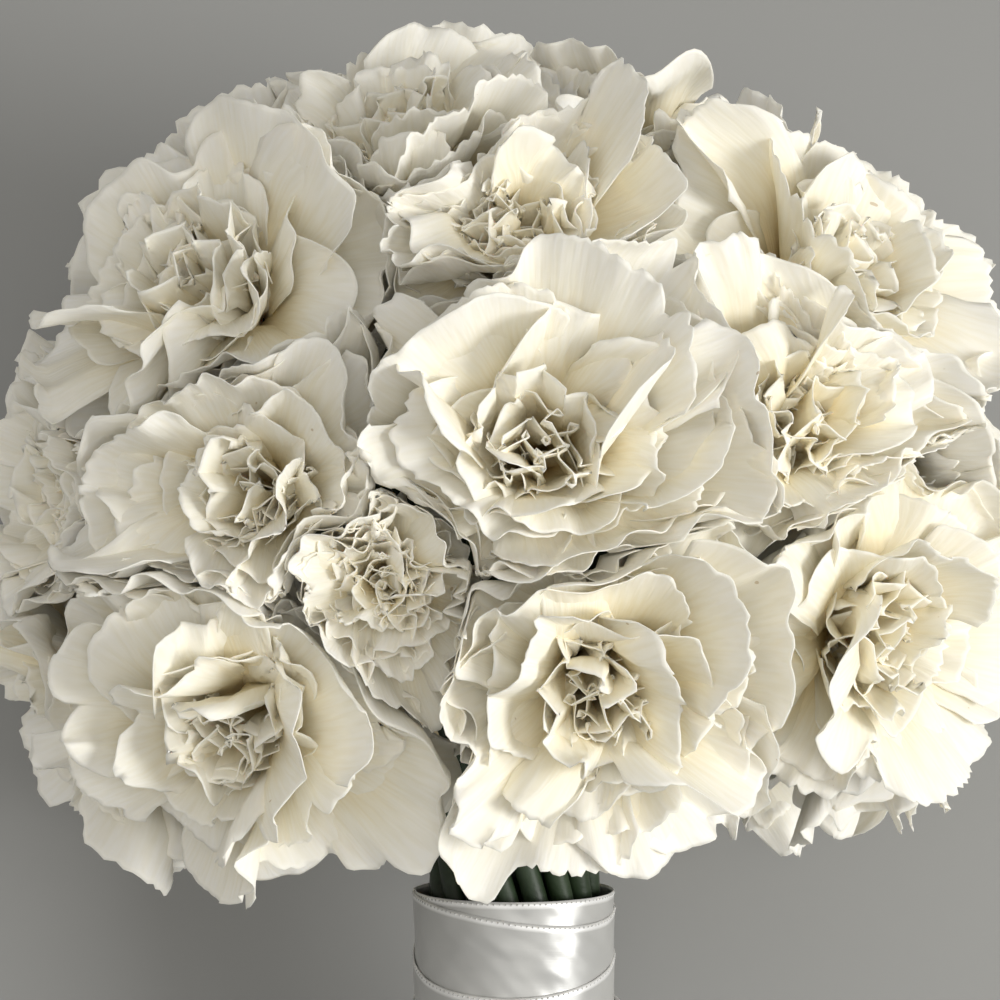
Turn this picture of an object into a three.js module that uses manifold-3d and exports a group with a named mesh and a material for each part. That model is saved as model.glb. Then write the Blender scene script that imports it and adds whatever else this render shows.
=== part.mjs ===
// A round hand-tied bunch of white carnations, laid on its side as a cut bunch lies on a table.
// Millimetres, +Z up. The bunch is built about its own axis, +Y from the stem ends to the crown and
// +Z towards the side that is looked at, and is then tipped back until its stem ends and the
// flattened petals under the head share the surface.
import * as THREE from "three";
import { mergeVertices } from "three/addons/utils/BufferGeometryUtils.js";
import Module from "manifold-3d";

const wasm = await Module();
wasm.setup();

const DEG = Math.PI / 180;
const GAP = 0.35; // clearance between pieces that touch

// The head: an ellipsoid through the heart of every bloom
const HEAD_CENTRE_Y = -9;
const HEAD_SIDE = 92;
const HEAD_CROWN = 88;
const HEAD_FRONT = 88;
const HEAD_BACK = 80;

// The bloom: petals that leave the mouth of the calyx and spread to the guard petals
const HEART_ABOVE_MOUTH = 10;
const CELL_POINT_ABOVE_HEART = 12; // the point of a bloom from which its share of the head is drawn
const CORE_RADIUS = 13; // the packed claws that the petals stand out of
const CORE_HEIGHT = 10;
const BLADE = 0.9; // thickness of a petal
const NEIGHBOUR_KNEE = 5; // how far from a neighbour a petal begins to turn up
const SURFACE_KNEE = 0.8; // the same over the surface that the bunch lies on
const PRESS_RISE = 0.8; // share of the pressed length that a petal gains outwards
const LAP = 10; // how far a bloom at the front leans over one behind it
const LAP_HEIGHT = 34; // over what height it leans out that far

// The calyx and stem
const CALYX_LENGTH = 25;
const CALYX_RADIUS = 8.4;
const SOCKET_RADIUS = 6.6;
const SOCKET_DEPTH = 11;
const STEM_RADIUS = 2.9;
const STEM_RADIUS_AT_CALYX = 2.35;
const SIDES = 5; // a carnation calyx has five ridges, and the stem below it keeps them

// The handle
const NECK_Y = -82; // where the stems leave the bundle and spread
const BINDING_Y = [-128, -100];
const RIBBON_Y = [-205, -89];
const STEM_END_Y = -224;
const HANDLE_X = 3.2; // the handle stands a little to the right under the head
const RIBBON_RADIUS = 23.1;
const RIBBON_BANDS = 7;
const SLEEVE_SIDES = 16;
const BAND_STEP = 0.6;
const TAPE_THICKNESS = 0.6;
const TWIST_AT_NECK = 1.05 * DEG; // turn of the stem spiral for each millimetre of handle
const TWIST_AT_END = 0.25 * DEG;
const FAN_TURN = 20 * DEG; // how far the spiral has turned from a bloom to the neck
const REST_TILT = 19.2 * DEG;
const FLAT_SPOT = 0.5; // how deep the petals that carry the head are flattened against the surface

// Every bloom: latitude and longitude of its heart on the head (longitude 0 is the side looked at), how far
// its face is turned towards that side, its size, and how far in front of its neighbours its petals stand.
const PLACES = [
  { ring: "outer", lat: -23, lon: -36.2, turn: 0.45, size: 1.14, front: 0.95 },
  { ring: "outer", lat: -17, lon: 12.3, turn: 0.4, size: 1.1, front: 1 },
  { ring: "outer", lat: -11.5, lon: 54.8, turn: 0.4, size: 1.04, front: 0.7 },
  { ring: "outer", lat: -21, lon: 95, turn: 0, size: 0.98, front: 0.4 },
  { ring: "outer", lat: -24, lon: 143, turn: 0, size: 1, front: 0.2 },
  { ring: "outer", lat: -24, lon: 191, turn: 0, size: 1, front: 0.7 },
  { ring: "outer", lat: -24, lon: 238, turn: 0, size: 1, front: 0.3 },
  { ring: "outer", lat: -22, lon: 282, turn: 0, size: 0.98, front: 0.6 },
  { ring: "outer", lat: -4.9, lon: -14.5, turn: 0.5, size: 0.7, front: 0.75 },
  { ring: "outer", lat: 6, lon: -65, turn: 0.1, size: 1, front: 0.2 },
  { ring: "outer", lat: 6.2, lon: -31.3, turn: 0.4, size: 1.02, front: 0.75 },
  { ring: "outer", lat: 11.7, lon: 5.2, turn: 0.35, size: 1.06, front: 0.85 },
  { ring: "middle", lat: 15.4, lon: 42, turn: 0.4, size: 1.02, front: 0.6 },
  { ring: "outer", lat: 14, lon: 78, turn: 0.1, size: 1, front: 0.2 },
  { ring: "outer", lat: 12, lon: 120, turn: 0, size: 1, front: 0.8 },
  { ring: "outer", lat: 13, lon: 163, turn: 0, size: 0.98, front: 0.3 },
  { ring: "outer", lat: 13, lon: 206, turn: 0, size: 1, front: 0.9 },
  { ring: "middle", lat: 12, lon: 249, turn: 0, size: 1, front: 0.5 },
  { ring: "middle", lat: 33.7, lon: -47.4, turn: 0.35, size: 1.06, front: 0.85 },
  { ring: "middle", lat: 43.7, lon: 3.2, turn: 0.35, size: 0.96, front: 0.1 },
  { ring: "middle", lat: 36, lon: 63, turn: 0.25, size: 1.1, front: 0.8 },
  { ring: "middle", lat: 44, lon: 106, turn: 0, size: 1, front: 0.3 },
  { ring: "middle", lat: 44, lon: 156, turn: 0, size: 1, front: 0.8 },
  { ring: "middle", lat: 44, lon: 206, turn: 0, size: 1, front: 0.4 },
  { ring: "middle", lat: 48, lon: 262, turn: 0, size: 1, front: 0.6 },
  { ring: "inner", lat: 62.3, lon: -29.4, turn: 0.15, size: 1, front: 0.5 },
  { ring: "inner", lat: 73.5, lon: 77.3, turn: 0, size: 0.98, front: 0.3 },
  { ring: "inner", lat: 72, lon: 215, turn: 0, size: 0.98, front: 0.7 },
];

// Rings of petals from the guard petals (layer 0) to the centre (layer 1)
const RINGS = [
  { count: 5, layer: 0.0, length: 46, span: 33.5 * DEG, tips: 6 },
  { count: 4, layer: 0.36, length: 42, span: 42 * DEG, tips: 5 },
  { count: 2, layer: 0.68, length: 37, span: 82 * DEG, tips: 5 },
];
const LAYER_DEPTH_AT_WALL = 7; // how far the centre layer stays behind the guard layer at a neighbour

// Radius of each ring of stems in the bundle
const RING_RADIUS = { outer: 16.9, middle: 10.7, inner: 4.4 };

const CREAM = new THREE.MeshStandardMaterial({ color: 0xf3eedd, roughness: 0.75, side: THREE.DoubleSide });
const GREEN = new THREE.MeshStandardMaterial({ color: 0x33452b, roughness: 0.6 });
const SATIN = new THREE.MeshStandardMaterial({ color: 0xe2e0dc, roughness: 0.3 });
const TAPE = new THREE.MeshStandardMaterial({ color: 0x5d6f47, roughness: 0.8 });

// A repeatable run of numbers from 0 to 1
function seeded(seed) {
  let state = (seed * 2654435761) >>> 0;
  return () => {
    state = (state + 0x6d2b79f5) >>> 0;
    let t = state;
    t = Math.imul(t ^ (t >>> 15), t | 1);
    t ^= t + Math.imul(t ^ (t >>> 7), t | 61);
    return ((t ^ (t >>> 14)) >>> 0) / 4294967296;
  };
}

function smooth(x) {
  const c = Math.min(1, Math.max(0, x));
  return c * c * (3 - 2 * c);
}

// The heart, facing and frame of each bloom
function placeBloom(place, index) {
  const lat = place.lat * DEG;
  const lon = place.lon * DEG;
  const unit = new THREE.Vector3(
    Math.cos(lat) * Math.sin(lon),
    Math.sin(lat),
    Math.cos(lat) * Math.cos(lon),
  );
  const half = new THREE.Vector3(HEAD_SIDE, HEAD_CROWN, unit.z > 0 ? HEAD_FRONT : HEAD_BACK);
  const heart = unit.clone().multiply(half).add(new THREE.Vector3(0, HEAD_CENTRE_Y, 0));
  const facing = unit.clone().divide(half).normalize();
  facing.lerp(new THREE.Vector3(0, 0, 1), place.turn).normalize();
  const spin = seeded(index + 1)() * 360 * DEG;
  const side = new THREE.Vector3(0, 1, 0).cross(facing).normalize().applyAxisAngle(facing, spin);
  const up = facing.clone().cross(side);
  const mouth = heart.clone().addScaledVector(facing, -HEART_ABOVE_MOUTH);
  const cell = heart.clone().addScaledVector(facing, CELL_POINT_ABOVE_HEART);
  return { ...place, index, heart, facing, side, up, mouth, cell, seed: index + 1 };
}

const blooms = PLACES.map(placeBloom);

// The wall between two blooms: a plane halfway between their points that leans over the one behind
function wallBetween(bloom, other) {
  const normal = other.cell.clone().sub(bloom.cell);
  const share = bloom.size / (bloom.size + other.size);
  const point = bloom.cell.clone().addScaledVector(normal, share);
  normal.normalize();
  const up = bloom.facing.clone().add(other.facing).projectOnPlane(normal).normalize();
  const rank = bloom.front - other.front;
  const lean = (LAP * rank) / (0.35 + Math.abs(rank));
  const middle = up.dot(bloom.cell.clone().add(other.cell)) / 2 - 6;
  point.addScaledVector(up, middle - up.dot(point)).addScaledVector(normal, lean / 2);
  normal.addScaledVector(up, -lean / LAP_HEIGHT).normalize();
  return { normal, offset: normal.dot(point), knee: NEIGHBOUR_KNEE, nest: LAYER_DEPTH_AT_WALL };
}

// The walls round a bloom, the nearest first
function wallsOf(bloom) {
  const reach = (wall) => wall.offset - wall.normal.dot(bloom.cell);
  return blooms
    .filter((other) => other !== bloom && other.cell.distanceTo(bloom.cell) < 110)
    .map((other) => wallBetween(bloom, other))
    .sort((a, b) => reach(a) - reach(b));
}

// A petal that reaches a wall turns up along it instead of passing through
function press(point, walls, facing, layer) {
  const over = (wall) => wall.normal.dot(point) - wall.offset + (BLADE + GAP) / 2 + wall.nest * layer;
  for (const wall of walls) {
    const { normal, knee } = wall;
    const past = over(wall);
    if (past <= -knee) continue;
    const held = -knee * Math.exp(-(past + knee) / knee);
    const along = 1 - Math.abs(facing.dot(normal));
    point.addScaledVector(normal, held - past);
    point.addScaledVector(facing, PRESS_RISE * (past - held) * along);
  }
  for (const wall of [...walls, ...walls]) {
    if (over(wall) > 0) point.addScaledVector(wall.normal, -over(wall));
  }
  return point;
}

// The half-profile of one layer of petals: radius, height and lean at a distance along the petal
function layerProfile(layer, distance) {
  const start = 3.4 * (1 - layer) + 0.6;
  const leanAtRoot = (14 - 10 * layer) * DEG;
  const leanAtTip = (97 - 84 * Math.pow(layer, 0.85)) * DEG;
  const steps = 10;
  let radius = start;
  let height = -2;
  let lean = leanAtRoot;
  for (let i = 0; i < steps; i++) {
    const along = (distance * (i + 0.5)) / steps;
    lean = leanAtRoot + (leanAtTip - leanAtRoot) * smooth((along - 3) / 17);
    radius += (Math.sin(lean) * distance) / steps;
    height += (Math.cos(lean) * distance) / steps;
  }
  return { radius, height, lean };
}

// The ruffle shared by all the layers of a bloom, so that they nest
function ruffle(bloom, azimuth, layer) {
  const phase = bloom.seed * 1.7;
  return (
    0.55 * Math.sin(5 * azimuth + phase + 2.2 * layer) +
    0.75 * Math.sin(8 * azimuth + 2.1 * phase + 3.4 * layer)
  );
}

// A closed thin blade over rows of points, with any number of points in a row
function blade(rows, thickness) {
  const points = rows.flat();
  const first = [0];
  for (const row of rows) first.push(first.at(-1) + row.length);
  const faces = [];
  for (let k = 0; k + 1 < rows.length; k++) {
    const [a, b] = [rows[k].length, rows[k + 1].length];
    let [i, j] = [0, 0];
    while (i < a - 1 || j < b - 1) {
      const stepA = j === b - 1 || (i < a - 1 && (i + 1) / (a - 1) <= (j + 1) / (b - 1));
      const from = [first[k] + i, first[k + 1] + j];
      if (stepA) i++;
      else j++;
      faces.push([...from, stepA ? first[k] + i : first[k + 1] + j]);
    }
  }
  const normals = points.map(() => new THREE.Vector3());
  for (const [a, b, c] of faces) {
    const cross = points[b].clone().sub(points[a]).cross(points[c].clone().sub(points[a]));
    for (const v of [a, b, c]) normals[v].add(cross);
  }
  const n = points.length;
  const half = normals.map((normal) => normal.normalize().multiplyScalar(thickness / 2));
  const upper = points.map((p, v) => p.clone().add(half[v]));
  const lower = points.map((p, v) => p.clone().sub(half[v]));
  const rim = [
    ...rows.map((row, k) => first[k]),
    ...rows.at(-1).map((_, i) => first[rows.length - 1] + i).slice(1),
    ...rows.map((row, k) => first[k] + row.length - 1).reverse().slice(1),
    ...rows[0].map((_, i) => i).reverse().slice(1, -1),
  ];
  const triangles = faces.flatMap(([a, b, c]) => [a, b, c, c + n, b + n, a + n]);
  rim.forEach((p, i) => {
    const q = rim[(i + 1) % rim.length];
    triangles.push(q, p, p + n, q, p + n, q + n);
  });
  return solidOf([...upper, ...lower], triangles);
}

function solidOf(points, triangles) {
  const vertProperties = new Float32Array(points.flatMap((p) => [p.x, p.y, p.z]));
  const made = new wasm.Manifold(
    new wasm.Mesh({ numProp: 3, vertProperties, triVerts: new Uint32Array(triangles) }),
  );
  if (made.volume() > 0) return made;
  const turned = triangles.map((_, i) => triangles[i - (i % 3) + (2 - (i % 3))]);
  return new wasm.Manifold(
    new wasm.Mesh({ numProp: 3, vertProperties, triVerts: new Uint32Array(turned) }),
  );
}

function solidOfGeometry(geometry) {
  const bare = geometry.index ? geometry.toNonIndexed() : geometry.clone();
  bare.deleteAttribute("normal");
  bare.deleteAttribute("uv");
  const merged = mergeVertices(bare, 1e-4);
  return new wasm.Manifold(
    new wasm.Mesh({
      numProp: 3,
      vertProperties: merged.attributes.position.array,
      triVerts: new Uint32Array(merged.index.array),
    }),
  );
}

function geometryOf(solid) {
  const mesh = solid.getMesh();
  const geometry = new THREE.BufferGeometry()
    .setAttribute("position", new THREE.BufferAttribute(mesh.vertProperties, 3))
    .setIndex(new THREE.BufferAttribute(mesh.triVerts, 1));
  geometry.computeVertexNormals();
  return geometry;
}

// Rings of SIDES points round a line of frames, closed by a fan at each end
function tube(rings) {
  const points = rings.flat();
  const triangles = [];
  const count = rings[0].length;
  for (let k = 0; k + 1 < rings.length; k++)
    for (let i = 0; i < count; i++) {
      const [a, b] = [k * count + i, k * count + ((i + 1) % count)];
      triangles.push(a, b, b + count, a, b + count, a + count);
    }
  const last = (rings.length - 1) * count;
  for (let i = 1; i + 1 < count; i++) {
    triangles.push(0, i + 1, i);
    triangles.push(last, last + i, last + i + 1);
  }
  return solidOf(points, triangles);
}

function ringAt(centre, side, up, radius, count = SIDES) {
  return Array.from({ length: count }, (_, i) => {
    const angle = (2 * Math.PI * i) / count;
    return centre
      .clone()
      .addScaledVector(side, radius * Math.cos(angle))
      .addScaledVector(up, radius * Math.sin(angle));
  });
}

// The claws packed in the calyx, widening to the heart of the bloom, which the petals stand out of
function coreOf(bloom) {
  const profile = [
    [SOCKET_RADIUS - GAP, -SOCKET_DEPTH + GAP],
    [SOCKET_RADIUS - GAP, GAP],
    [CORE_RADIUS, CORE_HEIGHT],
  ];
  return tube(
    profile.map(([radius, height]) =>
      ringAt(bloom.mouth.clone().addScaledVector(bloom.facing, height), bloom.side, bloom.up, radius),
    ),
  );
}

function petal(bloom, walls, { layer, length, span, azimuth, tips }, random) {
  const wave = 1.3 + 2.4 * (1 - layer);
  const reach = length * bloom.size * (0.96 + 0.08 * random());
  const rows = [
    { along: 0.2, count: 1, open: 0 },
    { along: 0.64, count: 2, open: 0.94 },
    { along: 1, count: tips, open: 1 },
  ];
  const grid = rows.map(({ along, count, open }) =>
    Array.from({ length: count }, (_, i) => {
      const across = count > 1 ? (2 * i) / (count - 1) - 1 : 0;
      const tooth = count === tips && i % 2 ? 1.2 : 0;
      const distance = reach * along * (1 - 0.12 * Math.abs(across) ** 3) + tooth;
      const turn = azimuth + across * span * open;
      const at = layerProfile(layer, distance);
      const out = wave * along ** 2 * ruffle(bloom, turn, layer);
      const radius = Math.max(1, at.radius + out * Math.cos(at.lean));
      const height = at.height - out * Math.sin(at.lean);
      const point = bloom.mouth
        .clone()
        .addScaledVector(bloom.side, radius * Math.cos(turn))
        .addScaledVector(bloom.up, radius * Math.sin(turn))
        .addScaledVector(bloom.facing, height);
      return press(point, walls, bloom.facing, layer);
    }),
  );
  return blade(grid, BLADE);
}

// A bloom whose lowest petals press on the surface and are flat where they meet it
function bloomSolid(bloom, surface) {
  const random = seeded(bloom.seed);
  const under = { ...surface, offset: surface.offset + FLAT_SPOT, knee: SURFACE_KNEE, nest: 0 };
  const walls = [...wallsOf(bloom), under];
  const parts = [coreOf(bloom)];
  RINGS.forEach((ring, k) => {
    for (let i = 0; i < ring.count; i++) {
      const azimuth = Math.PI / SIDES + k * 0.6 + (2 * Math.PI * i) / ring.count;
      parts.push(petal(bloom, walls, { ...ring, azimuth }, random));
    }
  });
  const up = surface.normal.clone().negate();
  return wasm.Manifold.union(parts).trimByPlane(up.toArray(), -surface.offset);
}

// The turn of the stem spiral at a height on the axis, which slackens towards the stem ends
function spiral(y) {
  const below = Math.min(0, y - NECK_Y);
  const fall = (y - NECK_Y) / (STEM_END_Y - NECK_Y);
  const eased = TWIST_AT_NECK + (TWIST_AT_END - TWIST_AT_NECK) * 0.5 * Math.max(0, fall);
  return -below * eased;
}

// Where each stem stands in the bundle: a ring, and a place round it in the order of the blooms
function laneOf(bloom) {
  const round = (other) => (other.lon + 360) % 360;
  const members = blooms
    .filter((other) => other.ring === bloom.ring)
    .sort((a, b) => round(a) - round(b));
  const step = 360 / members.length;
  const lead = members.reduce((sum, other, i) => sum + round(other) - i * step, 0) / members.length;
  const azimuth = (lead + members.indexOf(bloom) * step) * DEG + FAN_TURN;
  return { radius: RING_RADIUS[bloom.ring], azimuth };
}

function stemLine(bloom) {
  const lane = laneOf(bloom);
  const inBundle = (y) => {
    const turn = lane.azimuth + spiral(y);
    return new THREE.Vector3(HANDLE_X + lane.radius * Math.sin(turn), y, lane.radius * Math.cos(turn));
  };
  const neck = inBundle(NECK_Y);
  const lean = inBundle(NECK_Y).sub(inBundle(NECK_Y - 1)).normalize();
  const base = bloom.mouth.clone().addScaledVector(bloom.facing, -CALYX_LENGTH);
  const spread = base.distanceTo(neck);
  const curve = new THREE.CubicBezierCurve3(
    neck,
    neck.clone().addScaledVector(lean, spread * 0.42),
    base.clone().addScaledVector(bloom.facing, -spread * 0.24),
    base,
  );
  const handle = [0, 1, 2].map((i) => inBundle(STEM_END_Y + ((NECK_Y - STEM_END_Y) * i) / 3));
  return [...handle, ...curve.getPoints(3)];
}

// Rings square to a line, carried along it without turning, the last one square to the handle
function sweptRings(line, radii, across) {
  const side = across.clone();
  return line.map((point, i) => {
    const before = line[Math.max(0, i - 1)];
    const after = line[Math.min(line.length - 1, i + 1)];
    const along = after.clone().sub(before).normalize();
    if (i === line.length - 1) along.set(0, -1, 0);
    side.addScaledVector(along, -side.dot(along)).normalize();
    return ringAt(point, side, side.clone().cross(along), radii(i / (line.length - 1)));
  });
}

// One stem with its calyx, a socket in the calyx for the claws of the petals
function stemSolid(bloom) {
  const line = stemLine(bloom).reverse();
  const taper = (share) => STEM_RADIUS_AT_CALYX + (STEM_RADIUS - STEM_RADIUS_AT_CALYX) * smooth(share * 1.6);
  const down = (depth) => bloom.mouth.clone().addScaledVector(bloom.facing, -depth);
  const calyx = [
    ringAt(down(SOCKET_DEPTH), bloom.side, bloom.up, SOCKET_RADIUS),
    ringAt(down(0), bloom.side, bloom.up, SOCKET_RADIUS),
    ringAt(down(0), bloom.side, bloom.up, CALYX_RADIUS),
    ringAt(down(CALYX_LENGTH * 0.7), bloom.side, bloom.up, CALYX_RADIUS * 0.86),
  ];
  return tube([...calyx, ...sweptRings(line, taper, bloom.side)]);
}

// A sleeve round the bundle, from the clear radius inside it and its outer profile of [radius, height]
function sleeve(clear, outer) {
  const inner = clear / Math.cos(Math.PI / SLEEVE_SIDES);
  const low = outer[0][1];
  const high = outer.at(-1)[1];
  const profile = [[inner, low], ...outer, [inner, high], [inner, low]];
  const points = profile.map(([x, y]) => new THREE.Vector2(x, y));
  return solidOfGeometry(new THREE.LatheGeometry(points, SLEEVE_SIDES).translate(HANDLE_X, 0, 0));
}

const TAPE_CLEAR = RING_RADIUS.outer + STEM_RADIUS + GAP;

function bindingSolid() {
  const outer = (TAPE_CLEAR + TAPE_THICKNESS) / Math.cos(Math.PI / SLEEVE_SIDES);
  return sleeve(TAPE_CLEAR, BINDING_Y.map((y) => [outer, y]));
}

// The ribbon, wound over the binding in lapped bands, each standing proud of the one below it
function ribbonSolid() {
  const outer = [];
  const pitch = (RIBBON_Y[1] - RIBBON_Y[0]) / RIBBON_BANDS;
  for (let band = 0; band < RIBBON_BANDS; band++) {
    const low = RIBBON_Y[0] + band * pitch;
    outer.push([RIBBON_RADIUS, low + (band ? 0.4 : 0)]);
    outer.push([RIBBON_RADIUS - BAND_STEP, low + pitch]);
  }
  return sleeve(TAPE_CLEAR + TAPE_THICKNESS + GAP, outer);
}

// The surface that the bunch lies on, level with the lowest stem end
function surfaceUnder(stems) {
  const normal = new THREE.Vector3(0, -Math.sin(REST_TILT), -Math.cos(REST_TILT));
  let offset = -Infinity;
  for (const solid of stems) {
    const { vertProperties } = solid.getMesh();
    for (let i = 0; i < vertProperties.length; i += 3)
      offset = Math.max(offset, normal.dot(new THREE.Vector3().fromArray(vertProperties, i)));
  }
  return { normal, offset };
}

function piece(name, solid, material) {
  const mesh = new THREE.Mesh(geometryOf(solid), material);
  mesh.name = name;
  return mesh;
}

const bunch = new THREE.Group();
const stems = blooms.map(stemSolid);
const surface = surfaceUnder(stems);
blooms.forEach((bloom, i) => {
  const tag = String(i + 1).padStart(2, "0");
  bunch.add(piece(`bloom_${tag}`, bloomSolid(bloom, surface), CREAM));
  bunch.add(piece(`stem_${tag}`, stems[i], GREEN));
});
bunch.add(piece("binding_tape", bindingSolid(), TAPE));
bunch.add(piece("satin_ribbon", ribbonSolid(), SATIN));

// Laid down: tipped back, centred, and set on the surface
bunch.rotation.x = REST_TILT;
bunch.updateMatrixWorld(true);
const box = new THREE.Box3().setFromObject(bunch, true);
bunch.position.set(-(box.min.x + box.max.x) / 2, -(box.min.y + box.max.y) / 2, surface.offset);

export default bunch;
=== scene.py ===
"""A hand-tied bunch of white carnations that lies on its side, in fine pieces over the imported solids."""

from __future__ import annotations

import logging
import math
from dataclasses import dataclass, field
from enum import Enum

import bpy
import numpy as np
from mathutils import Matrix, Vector


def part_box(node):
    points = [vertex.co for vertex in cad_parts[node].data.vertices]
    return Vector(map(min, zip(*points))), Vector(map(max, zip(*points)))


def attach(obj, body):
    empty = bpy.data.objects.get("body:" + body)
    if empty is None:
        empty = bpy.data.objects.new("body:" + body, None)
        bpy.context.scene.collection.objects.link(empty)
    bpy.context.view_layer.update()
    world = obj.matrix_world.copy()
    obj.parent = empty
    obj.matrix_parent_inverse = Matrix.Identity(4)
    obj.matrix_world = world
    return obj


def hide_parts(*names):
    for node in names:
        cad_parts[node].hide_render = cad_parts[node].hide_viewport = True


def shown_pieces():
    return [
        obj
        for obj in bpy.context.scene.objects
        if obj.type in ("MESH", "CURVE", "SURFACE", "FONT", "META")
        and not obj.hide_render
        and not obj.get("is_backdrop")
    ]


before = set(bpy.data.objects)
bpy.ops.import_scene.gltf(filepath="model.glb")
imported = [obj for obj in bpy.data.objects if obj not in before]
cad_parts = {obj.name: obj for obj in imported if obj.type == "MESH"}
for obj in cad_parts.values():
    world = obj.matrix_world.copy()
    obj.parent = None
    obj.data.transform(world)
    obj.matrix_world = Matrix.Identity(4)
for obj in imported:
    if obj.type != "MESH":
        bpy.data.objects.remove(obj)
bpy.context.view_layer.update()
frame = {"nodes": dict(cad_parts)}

LOG = logging.getLogger("bunch")
MM = 0.001
ROOT = "root"
HANDLE = np.array([3.2, 0.0, 0.0])  # the handle stands a little to the right under the head, in mm


class Ring(Enum):
    """The ring of the stem bundle that a stem stands in."""

    OUTER = 16.9
    MIDDLE = 10.7
    INNER = 4.4


@dataclass(frozen=True)
class Place:
    """Where a bloom sits on the head.

    Args:
        ring: the ring of the bundle that its stem joins.
        lat: latitude of its heart, in degrees towards the crown.
        lon: longitude of its heart, in degrees from the side that is looked at.
        turn: how far its face is turned towards that side, from 0 to 1.
        size: its size beside an ordinary bloom.
        front: how far its petals lap over its neighbours', from 0 to 1.
        warmth: how warm its cream is, and how strong the painted warm shade deep in the bloom is, from 0
            to 1.
        roll: how far its petals are turned round it, in degrees.
    """

    ring: Ring
    lat: float
    lon: float
    turn: float
    size: float
    front: float = 0.5
    warmth: float = 0.45
    roll: float = 0.0


PLACES = (
    Place(Ring.OUTER, -23, -36.2, 0.45, 1.14, 0.95, 0.4),
    Place(Ring.OUTER, -17, 12.3, 0.4, 1.08, 0.8, 0.65, 30),
    Place(Ring.OUTER, -11.5, 54.8, 0.4, 1.04, 0.9, 0.8),
    Place(Ring.OUTER, -21, 95, 0, 0.98, 0.4),
    Place(Ring.OUTER, -24, 143, 0, 1, 0.2),
    Place(Ring.OUTER, -24, 191, 0, 1, 0.7),
    Place(Ring.OUTER, -24, 238, 0, 1, 0.3),
    Place(Ring.OUTER, -22, 282, 0, 0.98, 0.6),
    Place(Ring.OUTER, -4.9, -14.5, 0.5, 0.78, 0.7, 0.6),
    Place(Ring.OUTER, 6, -65, 0.1, 1, 0.2, 0.3),
    Place(Ring.OUTER, 6.2, -31.3, 0.4, 1.02, 0.75, 0.35),
    Place(Ring.OUTER, 11.7, 5.2, 0.35, 1.06, 0.85, 0.5),
    Place(Ring.MIDDLE, 15.4, 42, 0.4, 1.02, 0.6, 0.85),
    Place(Ring.OUTER, 14, 78, 0.1, 1, 0.2, 0.6, 12),
    Place(Ring.OUTER, 12, 120, 0, 1, 0.8),
    Place(Ring.OUTER, 13, 163, 0, 0.98, 0.3),
    Place(Ring.OUTER, 13, 206, 0, 1, 0.9),
    Place(Ring.MIDDLE, 12, 249, 0, 1, 0.5),
    Place(Ring.MIDDLE, 33.7, -47.4, 0.35, 1.06, 0.85, 0.2),
    Place(Ring.MIDDLE, 43.7, 3.2, 0.35, 0.96, 0.1, 0.7),
    Place(Ring.MIDDLE, 36, 63, 0.25, 1.1, 0.8, 0.6),
    Place(Ring.MIDDLE, 44, 106, 0, 1, 0.3),
    Place(Ring.MIDDLE, 44, 156, 0, 1, 0.8),
    Place(Ring.MIDDLE, 44, 206, 0, 1, 0.4),
    Place(Ring.MIDDLE, 48, 262, 0, 1, 0.6, 0.25),
    Place(Ring.INNER, 62.3, -29.4, 0.15, 1, 0.5, 0.25),
    Place(Ring.INNER, 73.5, 77.3, 0, 0.98, 0.3, 0.3),
    Place(Ring.INNER, 72, 215, 0, 0.98, 0.7),
)


def smooth(x: np.ndarray) -> np.ndarray:
    """Eases from 0 to 1."""
    c = np.clip(x, 0.0, 1.0)
    return c * c * (3 - 2 * c)


def spin_of(index: int) -> float:
    """The turn of a bloom about its own axis, the same as in the solids.

    Args:
        index: the bloom's place in PLACES.

    Returns:
        The turn in radians.
    """
    mask = 0xFFFFFFFF
    t = ((index + 1) * 2654435761 + 0x6D2B79F5) & mask
    t = ((t ^ (t >> 15)) * (t | 1)) & mask
    t ^= (t + (((t ^ (t >> 7)) * (t | 61)) & mask)) & mask
    return 2 * math.pi * (t ^ (t >> 14)) / 4294967296


@dataclass(frozen=True)
class BunchFrame:
    """The bunch's own axes, +Y to the crown and +Z to the side looked at, and how they lie."""

    shift: np.ndarray
    tilt: float = math.radians(19.2)

    @classmethod
    def from_cad(cls, low_rim: float = -205.0, radius: float = 23.1) -> BunchFrame:
        """Reads the lie of the bunch from the box of the ribbon's solid.

        Args:
            low_rim: height of the ribbon's lower rim on the bunch's axis, in mm.
            radius: radius of that rim, in mm.

        Returns:
            The frame.
        """
        low, high = (np.array(c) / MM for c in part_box("satin_ribbon"))
        c, s = math.cos(cls.tilt), math.sin(cls.tilt)
        shift = np.array(
            [
                (low[0] + high[0]) / 2 - HANDLE[0],
                low[1] - low_rim * c + radius * s,
                low[2] - low_rim * s + radius * c,
            ]
        )
        return cls(shift)

    def laid(self, points: np.ndarray) -> np.ndarray:
        """Points in mm on the bunch's axes, as metres in the row frame."""
        c, s = math.cos(self.tilt), math.sin(self.tilt)
        turn = np.array([[1, 0, 0], [0, c, -s], [0, s, c]])
        return (np.asarray(points) @ turn.T + self.shift) * MM

    def down(self) -> np.ndarray:
        """The way down to the surface, on the bunch's axes."""
        return np.array([0, -math.sin(self.tilt), -math.cos(self.tilt)])


@dataclass(frozen=True)
class Head:
    """The ellipsoid through the hearts of the blooms."""

    centre_y: float = -9.0
    side: float = 92.0
    crown: float = 88.0
    front: float = 88.0
    back: float = 80.0
    heart_above_mouth: float = 10.0
    cell_above_heart: float = 12.0


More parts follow.
